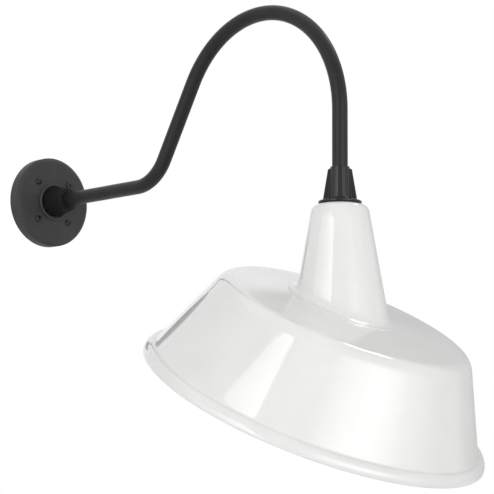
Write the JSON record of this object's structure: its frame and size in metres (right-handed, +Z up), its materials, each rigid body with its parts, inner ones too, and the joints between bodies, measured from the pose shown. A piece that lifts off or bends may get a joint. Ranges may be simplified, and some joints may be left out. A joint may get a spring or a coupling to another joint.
{
  "type": "barn light",
  "caption": "Wall-mounted gooseneck barn light: round plate, bent pipe arm, finned fitter, white conical neck and a wide tilted enamel bowl shade.",
  "frame": {"origin": "centre of the wall plate's back, on the wall", "axes": "+X out of the wall, +Z up, and the arm lies in the plane y = 0"},
  "size_m": [0.8282, 0.4839, 0.6803],
  "materials": {
    "satin_black": "satin powder coat",
    "gloss_black": "gloss paint",
    "black_screw": "gloss paint",
    "enamel": "glossy porcelain enamel on steel",
    "rubber": "matte",
    "zinc": "zinc plated",
    "earth_green": "green zinc plated",
    "porcelain": "glazed porcelain",
    "brass": "bright",
    "nickel": "nickel plated",
    "black_glass": "black glass",
    "solder": "solder",
    "frosted_glass": "frosted"
  },
  "bodies": {
    "wall": {"wall_gasket": "rubber", "wall_plate": "satin_black", "wall_screws": "black_screw", "arm_hub": "satin_black", "hub_nut": "zinc", "arm_seal": "rubber", "hub_set_screw": "black_screw", "ground_screw": "earth_green"},
    "arm": {"arm_tube": "satin_black"},
    "shade": {"fitter": "gloss_black", "fitter_set_screw": "black_screw", "neck_gasket": "rubber", "neck": "enamel", "clamp_washer": "zinc", "neck_locknut": "zinc", "socket_nipple": "zinc", "reflector": "enamel", "neck_rivets": "zinc", "holder_cap": "zinc", "lampholder": "porcelain", "holder_screws": "zinc", "screw_shell": "brass", "centre_contact": "brass", "terminal_screws": "brass"},
    "lamp": {"lamp_cap": "nickel", "lamp_insulator": "black_glass", "lamp_tip": "solder", "lamp_glass": "frosted_glass"}
  },
  "joints": [
    {"name": "arm_turn", "type": "hinge", "parent": "wall", "child": "arm", "pos_m": [0, 0, 0], "axis": [1, 0, 0], "range_deg": [-90, 90]},
    {"name": "shade_turn", "type": "hinge", "parent": "arm", "child": "shade", "pos_m": [0.64724, 0, -0.04], "axis": [0, 0, 1], "range_deg": [-175, 175]},
    {"name": "lamp_slide", "type": "slide", "parent": "shade", "child": "lamp", "axis": [0, 0, -1], "range_m": [0, 0.03]}
  ]
}
